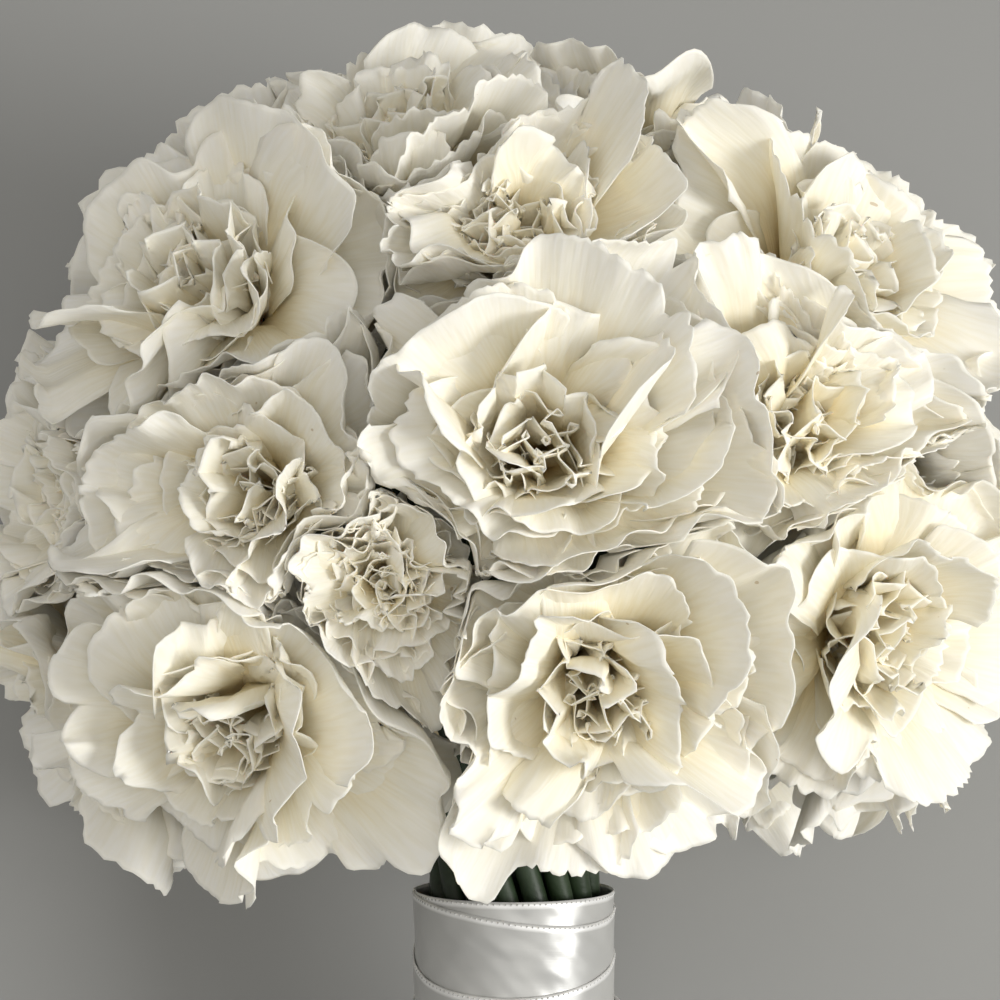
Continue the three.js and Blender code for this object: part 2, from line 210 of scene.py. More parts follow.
@dataclass
class Site:
    """A bloom's mouth, axes and the walls that it shares with its neighbours, in mm."""

    index: int
    place: Place
    head: Head = field(default_factory=Head)

    def __post_init__(self) -> None:
        lat, lon = math.radians(self.place.lat), math.radians(self.place.lon)
        unit = np.array(
            [math.cos(lat) * math.sin(lon), math.sin(lat), math.cos(lat) * math.cos(lon)]
        )
        h = self.head
        half = np.array([h.side, h.crown, h.front if unit[2] > 0 else h.back])
        heart = unit * half + np.array([0, h.centre_y, 0])
        facing = unit / half
        facing = facing / np.linalg.norm(facing)
        facing = facing * (1 - self.place.turn) + np.array([0, 0, self.place.turn])
        self.facing = facing / np.linalg.norm(facing)
        flat = np.cross([0, 1, 0], self.facing)
        flat = flat / np.linalg.norm(flat)
        spin = spin_of(self.index)
        self.side = flat * math.cos(spin) + np.cross(self.facing, flat) * math.sin(spin)
        self.up = np.cross(self.facing, self.side)
        self.mouth = heart - self.facing * h.heart_above_mouth
        self.cell = heart + self.facing * h.cell_above_heart

    @property
    def tag(self) -> str:
        """The number in the names of its nodes."""
        return f"{self.index + 1:02d}"

    def at(self, radius: np.ndarray, azimuth: np.ndarray, height: np.ndarray) -> np.ndarray:
        """Points given round the bloom's own axis, on the bunch's axes."""
        return (
            self.mouth
            + (radius * np.cos(azimuth))[..., None] * self.side
            + (radius * np.sin(azimuth))[..., None] * self.up
            + np.asarray(height)[..., None] * self.facing
        )


@dataclass(frozen=True)
class Wall:
    """A waved sheet that petals turn up along instead of passing through.

    Args:
        normal: its mean normal, away from the bloom.
        offset: its distance from the origin along that normal, in mm.
        knee: how early petals start to turn, in mm.
        nest: how far inside it the innermost layer is held, in mm.
        sign: which of the two blooms that share it looks at it.
        waves: wave vectors across it, with the phase and height of each.
        lip: the way up along it.
        lap: how far it leans over the second bloom at the top, in mm.
        mid: how high it is half way over.
        run: how far up it takes to lean over, in mm.
    """

    normal: np.ndarray
    offset: float
    knee: float
    nest: float
    sign: float = 0.0
    waves: tuple[tuple[np.ndarray, float, float], ...] = ()
    lip: np.ndarray | None = None
    lap: float = 0.0
    mid: float = 0.0
    run: float = 30.0

    def past(self, points: np.ndarray) -> np.ndarray:
        """How far points are past the wall, in mm."""
        found = points @ self.normal - self.offset
        if self.sign:
            shift = sum(high * np.sin(points @ wave + phase) for wave, phase, high in self.waves)
            shift = shift + self.lap * smooth((points @ self.lip - self.mid) / self.run + 0.5)
            found = found - self.sign * shift
        return found


@dataclass
class Crowd:
    """All the blooms and the surface under them.

    Args:
        sites: the blooms.
        frame: the bunch's frame.
        gap: what is left between two blooms, in mm.
        neighbour_knee: how early petals turn at a neighbour's wall, in mm.
        surface_knee: the same at the surface.
        nest: how far inside a wall the innermost layer is held, in mm.
        rise: share of what a wall takes off a petal that goes into its height.
        waves: length and height of the waves across a wall, in mm.
        lap: how far a wall leans over the bloom behind, in mm.
        even: difference of rank at which half of that lap is reached.
        drop: how far below the two hearts' tops a wall is half way over, in mm.
        reach: how far apart two blooms can be and still share a wall, in mm.
        height: height over a bloom's mouth at which its room is measured, in mm.
        open_room: the room of a bloom where nothing is near, in mm.
        known: the walls that are laid out already, by bloom.
    """

    sites: list[Site]
    frame: BunchFrame
    gap: float = 0.7
    neighbour_knee: float = 2.5
    surface_knee: float = 0.8
    nest: float = 13.0
    rise: float = 0.5
    waves: tuple[tuple[float, float], ...] = ((46.0, 3.0), (25.0, 1.65), (15.0, 0.75))
    lap: float = 15.0
    even: float = 0.35
    drop: float = 6.0
    reach: float = 110.0
    height: float = 22.0
    open_room: float = 60.0
    known: dict[int, list[Wall]] = field(default_factory=dict)

    def room(self, site: Site, azimuth: np.ndarray) -> np.ndarray:
        """How far it is from a bloom's axis to the nearest wall, in mm.

        Args:
            site: the bloom.
            azimuth: the directions, in radians.

        Returns:
            The distance in each direction.
        """
        start = site.mouth + site.facing * self.height
        ways = np.cos(azimuth)[:, None] * site.side + np.sin(azimuth)[:, None] * site.up
        near = np.full(len(azimuth), self.open_room)
        for wall in self.walls(site)[:-1]:
            closing = np.maximum(ways @ wall.normal, 0.05)
            step = -float(wall.past(start)) / closing
            met = start + ways * np.clip(step, 0, self.open_room)[:, None]
            step = step - wall.past(met) / closing
            near = np.minimum(near, step)
        return np.maximum(near, 8.0)

    def walls(self, site: Site) -> list[Wall]:
        """The walls round one bloom, nearest first, and the surface last.

        Args:
            site: the bloom.

        Returns:
            The walls, on the bunch's axes.
        """
        if site.index not in self.known:
            self.known[site.index] = self._find(site)
        return self.known[site.index]

    def _find(self, site: Site) -> list[Wall]:
        """Lays out the walls round one bloom."""
        found = []
        for other in self.sites:
            apart = other.cell - site.cell
            distance = float(np.linalg.norm(apart))
            if other is site or distance >= self.reach:
                continue
            found.append((distance, self.between(site, other, apart / distance)))
        found.sort(key=lambda pair: pair[0])
        down = self.frame.down()
        surface = Wall(down, float(self.frame.shift[2]), self.surface_knee, 0.0)
        return [wall for _, wall in found] + [surface]

    def between(self, site: Site, other: Site, normal: np.ndarray) -> Wall:
        """The waved wall between two blooms, the same sheet seen from either."""
        share = site.place.size / (site.place.size + other.place.size)
        offset = float(normal @ (site.cell + (other.cell - site.cell) * share))
        first, second = sorted((site.index, other.index))
        rng = np.random.default_rng(first * 64 + second)
        up = site.facing + other.facing
        up = up - normal * (up @ normal)
        up = up / np.linalg.norm(up)
        flat = np.cross(normal if site.index == first else -normal, up)
        waves = []
        for length, high in self.waves:
            way = rng.uniform(0, 2 * math.pi)
            vector = (flat * math.cos(way) + up * 0.5 * math.sin(way)) * 2 * math.pi / length
            waves.append((vector, rng.uniform(0, 2 * math.pi), high))
        mid = float(up @ (site.cell + other.cell)) / 2 - self.drop
        sign = 1.0 if site.index == first else -1.0
        rank = site.place.front - other.place.front
        lap = sign * self.lap * rank / (self.even + abs(rank))
        return Wall(
            normal, offset, self.neighbour_knee, self.nest, sign, tuple(waves), up, lap, mid
        )

    def press(self, points: np.ndarray, layer: np.ndarray, site: Site) -> np.ndarray:
        """Turns petals up along the walls round their bloom.

        Args:
            points: the petals' points, in mm.
            layer: the layer of each point, from 0 outside to 1 at the centre.
            site: their bloom.

        Returns:
            The points, all on their bloom's side of every wall.
        """
        walls = self.walls(site)
        points = points.copy()
        for wall in walls:
            past = wall.past(points) + self.gap / 2 + wall.nest * layer
            k = wall.knee
            held = np.where(past > -k, -k * np.exp(-(np.maximum(past, -k) + k) / k), past)
            lost = past - held
            along = 1 - abs(float(site.facing @ wall.normal))
            points -= lost[..., None] * wall.normal
            points += (self.rise * along * lost)[..., None] * site.facing
        return self.hold(points, site)

    def hold(self, points: np.ndarray, site: Site) -> np.ndarray:
        """Moves points that are past a wall back onto it."""
        for wall in self.walls(site) * 3:
            past = wall.past(points) + self.gap / 2
            points = points - np.maximum(past, 0)[..., None] * wall.normal
        return points


@dataclass(frozen=True)
class Whorl:
    """One layer of petals.

    Args:
        layer: 0 for the guard petals, 1 for the centre.
        count: number of petals.
        lean: how far they lean out from the bloom's axis, in degrees.
        length: their length, in mm.
        fan: half the angle that they open to from the claw, in degrees.
        spill: how far past the nearest wall they aim, in mm.
        wrap: how tightly they curve round the axis, in 1/mm.
        twist: how far they turn about their own line, in degrees.
        fold: depth of the folds that run down them, in mm.
        toothed: share of its petals with a toothed margin.
    """

    layer: float
    count: int
    lean: float
    length: float
    fan: float
    spill: float
    wrap: float
    twist: float
    fold: float
    toothed: float


WHORLS = (
    Whorl(0.0, 6, 96, 46, 36, 3, 0.01, 12, 1.0, 0.6),
    Whorl(0.1, 6, 84, 43, 37, 1, 0.016, 18, 1.4, 0.7),
    Whorl(0.25, 5, 70, 39, 38, 0, 0.025, 20, 1.6, 0.75),
    Whorl(0.4, 5, 54, 35, 37, 0, 0.036, 16, 1.4, 0.8),
    Whorl(0.55, 4, 40, 32, 36, 0, 0.05, 10, 1.0, 0.8),
    Whorl(0.7, 4, 25, 30, 35, 0, 0.07, 12, 1.0, 0.5),
    Whorl(0.85, 3, 10, 28, 36, 0, 0.09, 12, 1.0, 0.4),
    Whorl(1.0, 3, -8, 27, 34, 0, 0.1, 16, 1.0, 0.3),
)


@dataclass
class Mesh:
    """Points and triangles that grow piece by piece, with a number of values at each point."""

    points: list[np.ndarray] = field(default_factory=list)
    faces: list[np.ndarray] = field(default_factory=list)
    values: dict[str, list[np.ndarray]] = field(default_factory=dict)
    size: int = 0

    def add(self, points: np.ndarray, faces: np.ndarray, **values: np.ndarray) -> None:
        """Adds a closed body.

        Args:
            points: its points.
            faces: its triangles, counted from its own first point.
            values: values at its points, by name.
        """
        self.points.append(points)
        self.faces.append(faces + self.size)
        for name, value in values.items():
            self.values.setdefault(name, []).append(np.broadcast_to(value, len(points)))
        self.size += len(points)

    def build(self, name: str, lie: BunchFrame, finish: bpy.types.Material) -> bpy.types.Object:
        """Makes the Blender object.

        Args:
            name: its name.
            lie: the bunch's frame, as the points are in mm on the bunch's axes.
            finish: its material.

        Returns:
            The object, at the origin.
        """
        points = lie.laid(np.concatenate(self.points))
        faces = np.concatenate(self.faces)
        data = bpy.data.meshes.new(name)
        data.vertices.add(len(points))
        data.vertices.foreach_set("co", points.astype(np.float32).ravel())
        data.loops.add(faces.size)
        data.loops.foreach_set("vertex_index", faces.astype(np.int32).ravel())
        data.polygons.add(len(faces))
        data.polygons.foreach_set("loop_start", np.arange(0, faces.size, 3, dtype=np.int32))
        for key, parts in self.values.items():
            layer = data.attributes.new(key, "FLOAT", "POINT")
            layer.data.foreach_set("value", np.concatenate(parts).astype(np.float32))
        data.update(calc_edges=True)
        data.validate()
        data.shade_smooth()
        data.materials.append(finish)
        made = bpy.data.objects.new(name, data)
        bpy.context.scene.collection.objects.link(made)
        return made


class PetalWeb:
    """The rows of points that a petal is woven from, few at the claw and many at the margin."""

    def __init__(self, rows: tuple[float, ...], counts: tuple[int, ...]) -> None:
        self.along = np.concatenate([np.full(n, s) for s, n in zip(rows, counts)])
        self.across = np.concatenate([np.linspace(-1, 1, n) for n in counts])
        starts = np.concatenate([[0], np.cumsum(counts)])
        self.size = int(starts[-1])
        self.sheet = self._weave(counts, starts)
        self.solid = self._close(counts, starts)

    def _weave(self, counts: tuple[int, ...], starts: np.ndarray) -> np.ndarray:
        """The triangles of the middle sheet."""
        found = []
        for k in range(len(counts) - 1):
            a, b = counts[k], counts[k + 1]
            i = j = 0
            while i < a - 1 or j < b - 1:
                step = j == b - 1 or (i < a - 1 and (i + 1) / (a - 1) <= (j + 1) / (b - 1))
                here = (starts[k] + i, starts[k + 1] + j)
                i, j = (i + 1, j) if step else (i, j + 1)
                found.append((*here, starts[k] + i if step else starts[k + 1] + j))
        return np.array(found)

    def _close(self, counts: tuple[int, ...], starts: np.ndarray) -> np.ndarray:
        """The triangles of both faces and the edge round them."""
        first = list(starts[:-1])
        last = [s + n - 1 for s, n in zip(starts[:-1], counts)]
        top = list(range(starts[-2], starts[-1]))
        root = list(range(counts[0]))
        rim = first + top[1:] + last[::-1][1:] + root[::-1][1:-1]
        n = self.size
        edge = []
        for p, q in zip(rim, rim[1:] + rim[:1]):
            edge += [(q, p, p + n), (q, p + n, q + n)]
        return np.concatenate([self.sheet, self.sheet[:, ::-1] + n, np.array(edge)])

    def normals(self, points: np.ndarray) -> np.ndarray:
        """The sheet's normal at each of its points."""
        a, b, c = (points[self.sheet[:, i]] for i in range(3))
        cross = np.cross(b - a, c - a)
        normal = np.zeros_like(points)
        for i in range(3):
            np.add.at(normal, self.sheet[:, i], cross)
        return normal / np.maximum(np.linalg.norm(normal, axis=1, keepdims=True), 1e-9)

    def relax(self, points: np.ndarray, reach: np.ndarray) -> np.ndarray:
        """Pulls back the points that stand too far out of their neighbours.

        Args:
            points: the sheet's points.
            reach: how far each may stand from its neighbours' mean, in mm.

        Returns:
            The points.
        """
        total = np.zeros_like(points)
        count = np.zeros(len(points))
        for i, j in ((0, 1), (0, 2), (1, 0), (1, 2), (2, 0), (2, 1)):
            np.add.at(total, self.sheet[:, i], points[self.sheet[:, j]])
            np.add.at(count, self.sheet[:, i], 1.0)
        mean = total / count[:, None]
        away = points - mean
        far = np.maximum(np.linalg.norm(away, axis=1), 1e-9)
        return mean + away * np.minimum(1.0, reach / far)[:, None]

    def thicken(self, points: np.ndarray, thickness: np.ndarray) -> np.ndarray:
        """Both faces of a petal from its middle sheet.

        Args:
            points: the middle sheet's points.
            thickness: the thickness at each, in mm.

        Returns:
            The points of one face and then of the other.
        """
        half = self.normals(points) * (thickness / 2)[:, None]
        return np.concatenate([points + half, points - half])


@dataclass
class BloomBuilder:
    """Builds the petals of a bloom as closed sheets that nest in one another."""

    crowd: Crowd
    thickness: float = 0.42
    edge_thickness: float = 0.2
    fill: float = 0.22
    rows: tuple[float, ...] = (0.16, 0.3, 0.42, 0.53, 0.63, 0.72, 0.8, 0.87, 0.93, 0.975, 1.0)
    broad: tuple[int, ...] = (3, 5, 7, 9, 12, 16, 22, 30, 39, 47, 54)
    narrow: tuple[int, ...] = (3, 4, 5, 7, 9, 12, 16, 21, 27, 33, 38)

    def __post_init__(self) -> None:
        self.webs = [PetalWeb(self.rows, counts) for counts in (self.broad, self.narrow)]

    def spine(
        self,
        layer: float,
        distance: np.ndarray,
        tip: np.ndarray,
        late: np.ndarray,
        curl: np.ndarray,
    ) -> tuple[np.ndarray, np.ndarray, np.ndarray]:
        """The line up the middle of a petal.

        Args:
            layer: its layer.
            distance: how far up the petal each point is, in mm.
            tip: how far the blade leans out at each, in radians.
            late: how much longer than an ordinary claw it stands up before that, in mm.
            curl: how much further its margin rolls, in radians.

        Returns:
            Radius, height and lean at each point.
        """
        steps = 18
        root = math.radians(14 - 10 * layer)
        radius = np.full_like(distance, 3.4 * (1 - layer) + 0.6)
        height = np.full_like(distance, -2.0)
        lean = np.full_like(distance, root)
        for i in range(steps):
            along = distance * (i + 0.5) / steps
            lean = root + (tip - root) * smooth((along - 3 - late) / 17)
            lean = lean + curl * smooth((along - 20 - late) / 20) ** 1.4
            radius = radius + np.sin(lean) * distance / steps
            height = height + np.cos(lean) * distance / steps
        return radius, height, lean

    def margin(
        self, web: PetalWeb, toothed: bool, rng: np.random.Generator
    ) -> tuple[np.ndarray, np.ndarray]:
        """The outline of a petal's margin.

        Args:
            web: the rows that it is woven from.
            toothed: whether it has teeth.
            rng: the bloom's run of numbers.

        Returns:
            How far the margin stands out along the petal, and the ridges behind its teeth, in mm.
        """
        u, s = web.across, web.along
        lobes = sum(
            rng.uniform(0.3, 1.0) * np.sin(n * u * 1.6 + rng.uniform(0, 6.28)) for n in (2, 3, 5)
        )
        wander = u + 0.04 * np.sin(u * 9 + rng.uniform(0, 6))
        teeth = rng.uniform(20, 30) * wander + rng.uniform(0, 6)
        depth = 0.6 + 0.35 * np.sin(2.3 * u + rng.uniform(0, 6))
        if not toothed:
            depth = depth * 0.2
        edge = 0.8 * lobes + depth * (2.0 * np.abs(np.sin(teeth)) ** 0.7 - 1.0)
        edge = edge + depth * rng.uniform(-0.35, 0.35, u.shape)
        ridge = 0.3 * depth * np.cos(2 * teeth) * s**5
        return edge * smooth((s - 0.5) / 0.5), ridge

    def spread(
        self, whorl: Whorl, room: np.ndarray, length: np.ndarray
    ) -> tuple[np.ndarray, np.ndarray]:
        """How far a petal leans out in each direction, and how late, to lie against its neighbours.

        Args:
            whorl: its layer.
            room: how far the nearest wall is from each point's side of the bloom, in mm.
            length: its length on that side, in mm.

        Returns:
            The lean in radians, and how much longer its claw stands up, in mm.
        """
        tip = math.radians(whorl.lean) * (0.82 + 0.18 * smooth((room - 14) / 16))
        free = (room + whorl.spill) / np.maximum(np.sin(tip), 0.5)
        return tip, np.clip(length - 9 - free, 0, 14)

    def ruffle(self, web: PetalWeb, whorl: Whorl, rng: np.random.Generator) -> np.ndarray:
        """How far a petal's own folds stand out of its plain form, in mm."""
        u, s = web.across, web.along
        calm = 1 - 0.6 * whorl.layer
        reflex = rng.normal(-0.3, 1.0) * (u**2 - 0.3) * 3.4 * calm
        broad = rng.normal(0, 2.4) * calm * np.sin(2.6 * u + 1.2 * s + rng.uniform(0, 6.28))
        found = (reflex + broad) * s**1.5
        fold = np.sin(rng.uniform(3.5, 5.5) * u + rng.uniform(0, 6.28) + 0.8 * s)
        return found + whorl.fold * rng.uniform(0.5, 1.2) * fold * s**1.2

    def frill(self, web: PetalWeb, whorl: Whorl, rng: np.random.Generator) -> np.ndarray:
        """The short waves of a petal's margin, in mm."""
        u, s = web.across, web.along
        calm = 1 - 0.65 * whorl.layer
        found = np.zeros_like(u)
        for low, high, power, size in ((6, 10, 2.0, 2.7), (12, 18, 3, 1.7)):
            pace, phase = rng.uniform(low, high), rng.uniform(0, 6.28)
            swell = 0.55 + 0.45 * np.sin(rng.uniform(1.5, 3) * u + rng.uniform(0, 6.28))
            turn = pace * u + phase
            found = found + size * calm * swell * s**power * np.sin(turn + 0.6 * np.sin(turn))
        return found

    def petal(
        self,
        web: PetalWeb,
        site: Site,
        whorl: Whorl,
        azimuth: float,
        rng: np.random.Generator,
    ) -> np.ndarray:
        """The middle sheet of one petal.

        Args:
            web: the rows that it is woven from.
            site: its bloom.
            whorl: its layer.
            azimuth: where it stands round the bloom.
            rng: the bloom's run of numbers.

        Returns:
            Its points.
        """
        u, s = web.across, web.along
        scale = site.place.size
        length = whorl.length * scale * rng.uniform(0.86, 1.06)
        fan = math.radians(whorl.fan) * rng.uniform(0.85, 1.12)
        fan = fan * (0.4 + 0.6 * smooth((s - 0.1) / 0.45)) * u
        edge, ridge = self.margin(web, rng.random() < whorl.toothed, rng)
        room = self.crowd.room(site, azimuth + 0.6 * u)
        length = length * (1 + self.fill * smooth((room - 27) / 10) * smooth((58 - room) / 8))
        length = length * (0.8 + 0.2 * smooth((room - 12) / 16))
        line = np.maximum(length * s * (1 - 0.2 * np.abs(u) ** 4) + edge, 0.4)
        distance = line * np.cos(fan)
        tip, late = self.spread(whorl, room, length)
        bend = math.radians(rng.normal(-2, 15)) * (1 - 0.5 * whorl.layer)
        curl = math.radians(rng.normal(8 + 26 * whorl.layer, 27 - 9 * whorl.layer))
        radius, height, lean = self.spine(whorl.layer, distance, tip + bend, late, curl)
        wrap = max(whorl.wrap * rng.uniform(0.5, 1.3), 0.002)
        angle = line * np.sin(fan) * wrap
        aside = np.sin(angle) / wrap
        out = -(1 - np.cos(angle)) / wrap + self.ruffle(web, whorl, rng) + ridge
        phase = (site.index + 1) * 1.7
        wave = 8 * (azimuth + angle) + 3 * whorl.layer + phase + 2.5 * s
        out = out + (1.1 + 1.9 * whorl.layer) * s**1.4 * np.sin(wave)
        aside = aside + 1.6 * whorl.layer * s * np.sin(2 * wave)
        twist = math.radians(rng.normal(0, whorl.twist)) * smooth((s - 0.15) / 0.6)
        across = aside * np.cos(twist) - out * np.sin(twist)
        away = aside * np.sin(twist) + out * np.cos(twist)
        radius = radius + away * np.cos(lean)
        height = height - away * np.sin(lean)
        way = math.cos(azimuth) * site.side + math.sin(azimuth) * site.up
        flat = np.cross(site.facing, way)
        return (
            site.mouth
            + radius[:, None] * way
            + across[:, None] * flat
            + height[:, None] * site.facing
        )

    def build(self, site: Site, finish: bpy.types.Material) -> bpy.types.Object:
        """Builds a bloom's petals and its packed heart.

        Args:
            site: the bloom.
            finish: the petals' material.

        Returns:
            The bloom.
        """
        rng = np.random.default_rng(site.index + 11)
        mesh = Mesh()
        for k, whorl in enumerate(WHORLS):
            web = self.webs[0 if whorl.layer < 0.5 else 1]
            s, u = web.along, web.across
            thickness = self.thickness + (self.edge_thickness - self.thickness) * s**4
            reach = np.where(s > 0.85, 1.3, 4.0)
            start = math.pi / 5 + k * 0.9 + math.radians(site.place.roll)
            for i in range(whorl.count):
                azimuth = start + 2 * math.pi * i / whorl.count + rng.normal(0, 0.12)
                points = self.petal(web, site, whorl, azimuth, rng)
                inset = whorl.layer * rng.uniform(0.4, 1.0)
                points = self.crowd.press(points, np.full(len(s), inset), site)
                points = points + self.frill(web, whorl, rng)[:, None] * web.normals(points)
                points = web.relax(self.crowd.hold(points, site), reach)
                body = web.thicken(self.crowd.hold(points, site), thickness)
                mesh.add(
                    body,
                    web.solid,
                    along=np.tile(s, 2),
                    across=np.tile(u, 2),
                    layer=whorl.layer,
                    # warmth per petal: its cream tone and the strength of the painted warm shade deep in
                    # the bloom
                    tint=site.place.warmth + rng.normal(0, 0.12),
                    lot=rng.uniform(0, 100),
                )
        return mesh.build(f"petals_{site.tag}", self.crowd.frame, finish)


class Paint:
    """A small helper that lays out a material's nodes."""

    def __init__(self, name: str) -> None:
        self.material = bpy.data.materials.new(name)
        self.material.use_nodes = True
        self.tree = self.material.node_tree
        self.tree.nodes.clear()
        self.shader = self.tree.nodes.new("ShaderNodeBsdfPrincipled")
        self.output = self.tree.nodes.new("ShaderNodeOutputMaterial")
        self.tree.links.new(self.shader.outputs[0], self.output.inputs[0])

    def node(self, kind: str, **settings: object) -> bpy.types.Node:
        """A node of that kind; settings that are input names set its inputs."""
        made = self.tree.nodes.new(kind)
        for key, value in settings.items():
            setattr(made, key, value)
        return made

    def link(self, source: bpy.types.NodeSocket, target: bpy.types.NodeSocket) -> None:
        """Joins two sockets."""
        self.tree.links.new(source, target)

    def value(self, name: str) -> bpy.types.NodeSocket:
        """A value kept at the points of the mesh."""
        return self.node("ShaderNodeAttribute", attribute_name=name).outputs["Fac"]

    def math(self, operation: str, a: object, b: object = 0.0) -> bpy.types.NodeSocket:
        """Arithmetic on two sockets or numbers."""
        made = self.node("ShaderNodeMath", operation=operation)
        for socket, value in zip(made.inputs, (a, b)):
            if isinstance(value, bpy.types.NodeSocket):
                self.link(value, socket)
            else:
                socket.default_value = value
        return made.outputs[0]

    def ramp(
        self, source: bpy.types.NodeSocket, stops: list[tuple[float, tuple[float, ...]]]
    ) -> bpy.types.NodeSocket:
        """A colour ramp over a value."""
        made = self.node("ShaderNodeValToRGB")
        points = made.color_ramp.elements
        while len(points) < len(stops):
            points.new(0.5)
        for point, (where, colour) in zip(points, stops):
            point.position = where
            point.color = (*colour, 1.0)
        self.link(source, made.inputs[0])
        return made.outputs[0]

    def mix(self, amount: object, a: object, b: object, blend: str = "MIX") -> bpy.types.NodeSocket:
        """A mix of two colours."""
        made = self.node("ShaderNodeMix", data_type="RGBA", blend_type=blend)
        for name, value in (("Factor_Float", amount), ("A_Color", a), ("B_Color", b)):
            socket = next(x for x in made.inputs if x.identifier == name)
            if isinstance(value, bpy.types.NodeSocket):
                self.link(value, socket)
            else:
                socket.default_value = value if isinstance(value, float) else (*value, 1.0)
        return next(x for x in made.outputs if x.identifier == "Result_Color")

    def greys(
        self, source: bpy.types.NodeSocket, *stops: tuple[float, float]
    ) -> bpy.types.NodeSocket:
        """A ramp of greys over a value."""
        return self.ramp(source, [(where, (grey,) * 3) for where, grey in stops])

    def point(self, x: object, y: object, z: object = 0.0) -> bpy.types.NodeSocket:
        """A coordinate made of three sockets or numbers."""
        made = self.node("ShaderNodeCombineXYZ")
        for socket, value in zip(made.inputs, (x, y, z)):
            if isinstance(value, bpy.types.NodeSocket):
                self.link(value, socket)
        return made.outputs[0]

    def noise(
        self, source: bpy.types.NodeSocket | None, scale: float, detail: float = 3.0
    ) -> bpy.types.NodeSocket:
        """A noise value over a coordinate, or over the object's own."""
        made = self.node("ShaderNodeTexNoise")
        made.inputs["Scale"].default_value = scale
        made.inputs["Detail"].default_value = detail
        if source is None:
            source = self.node("ShaderNodeTexCoord").outputs["Object"]
        self.link(source, made.inputs["Vector"])
        return made.outputs["Fac"]

    def bump(
        self, height: bpy.types.NodeSocket, distance: float, before: object = None
    ) -> bpy.types.NodeSocket:
        """A bump over a height, on top of an earlier one."""
        made = self.node("ShaderNodeBump")
        made.inputs["Distance"].default_value = distance
        self.link(height, made.inputs["Height"])
        if before is not None:
            self.link(before, made.inputs["Normal"])
        return made.outputs["Normal"]


@dataclass(frozen=True)
class PetalFinish:
    """Petal tissue: cool white at the margin, cream below, straw at the claw and in the folds deep in the
    bloom, partly its own colour and partly painted warm shade, with fan veins.
    """

    claw: tuple[float, float, float] = (0.92, 0.76, 0.44)
    throat: tuple[float, float, float] = (0.965, 0.89, 0.69)
    blade: tuple[float, float, float] = (0.975, 0.955, 0.87)
    margin: tuple[float, float, float] = (0.985, 0.975, 0.945)
    rim: tuple[float, float, float] = (0.98, 0.955, 0.87)

    def build(self) -> bpy.types.Material:
        """Makes the material."""
        p = Paint("petal_tissue")
        along, across, layer = p.value("along"), p.value("across"), p.value("layer")
        tint, lot = p.value("tint"), p.value("lot")
        # Ramp from straw at the claw to white at the margin: partly the petal's own colour and partly
        # painted warm shade deep in the bloom. Inner layers are pushed towards the claw's colour as
        # painted shade in the heart.
        depth = p.math("SUBTRACT", along, p.math("MULTIPLY", layer, 0.24))
        fan = p.point(p.math("MULTIPLY", across, 7.0), p.math("MULTIPLY", along, 1.3), lot)
        veins = p.noise(fan, 4.5, 1.0)
        mixed = p.math("ADD", depth, p.math("MULTIPLY", p.math("SUBTRACT", veins, 0.5), 0.12))
        stops = [(0.2, self.claw), (0.48, self.throat), (0.74, self.blade), (0.97, self.margin)]
        colour = p.ramp(mixed, stops)
        # Painted warm shade: a warm tint that grows towards the claw and the bloom's heart, scaled by each
        # petal's warmth.
        near = p.math("SUBTRACT", 1.3, depth)
        warm = p.mix(p.math("MULTIPLY", tint, near), (1.0, 1.0, 1.0), (1.0, 0.965, 0.86))
        tinted = p.mix(1.0, colour, warm, "MULTIPLY")
        streak = p.ramp(veins, [(0.35, (0.955, 0.945, 0.91)), (0.62, (1.0, 1.0, 1.0))])
        tinted = p.mix(0.7, tinted, streak, "MULTIPLY")
        rim = p.greys(along, (0.965, 0.0), (0.995, 1.0))
        tinted = p.mix(rim, tinted, self.rim)
        specks = p.greys(p.noise(None, 420.0, 0.0), (0.88, 0.0), (0.9, 0.6))
        tinted = p.mix(specks, tinted, (0.52, 0.38, 0.2))
        p.link(tinted, p.shader.inputs["Base Color"])
        p.link(p.bump(veins, 0.00013), p.shader.inputs["Normal"])
        p.link(p.greys(veins, (0.3, 0.66), (0.7, 0.8)), p.shader.inputs["Roughness"])
        p.shader.subsurface_method = "BURLEY"
        p.shader.inputs["Subsurface Weight"].default_value = 0.15
        p.shader.inputs["Subsurface Radius"].default_value = (1.0, 0.8, 0.5)
        p.shader.inputs["Subsurface Scale"].default_value = 0.003
        p.shader.inputs["Specular IOR Level"].default_value = 0.22
        return p.material


@dataclass(frozen=True)
class StemFinish:
    """Smooth green skin under a pale waxy bloom."""

    dark: tuple[float, float, float] = (0.008, 0.018, 0.006)
    light: tuple[float, float, float] = (0.026, 0.05, 0.017)
    wax: tuple[float, float, float] = (0.05, 0.08, 0.045)

    def build(self) -> bpy.types.Material:
        """Makes the material."""
        p = Paint("stem_skin")
        coord = p.node("ShaderNodeTexCoord").outputs["Object"]
        patches = p.noise(coord, 60.0, 4.0)
        colour = p.ramp(patches, [(0.3, self.dark), (0.7, self.light)])
        wax = p.greys(p.noise(coord, 160.0, 5.0), (0.48, 0.0), (0.75, 0.6))
        p.link(p.mix(wax, colour, self.wax), p.shader.inputs["Base Color"])
        p.link(p.bump(p.noise(coord, 900.0, 3.0), 0.0001), p.shader.inputs["Normal"])
        p.link(p.greys(patches, (0.2, 0.38), (0.8, 0.6)), p.shader.inputs["Roughness"])
        return p.material


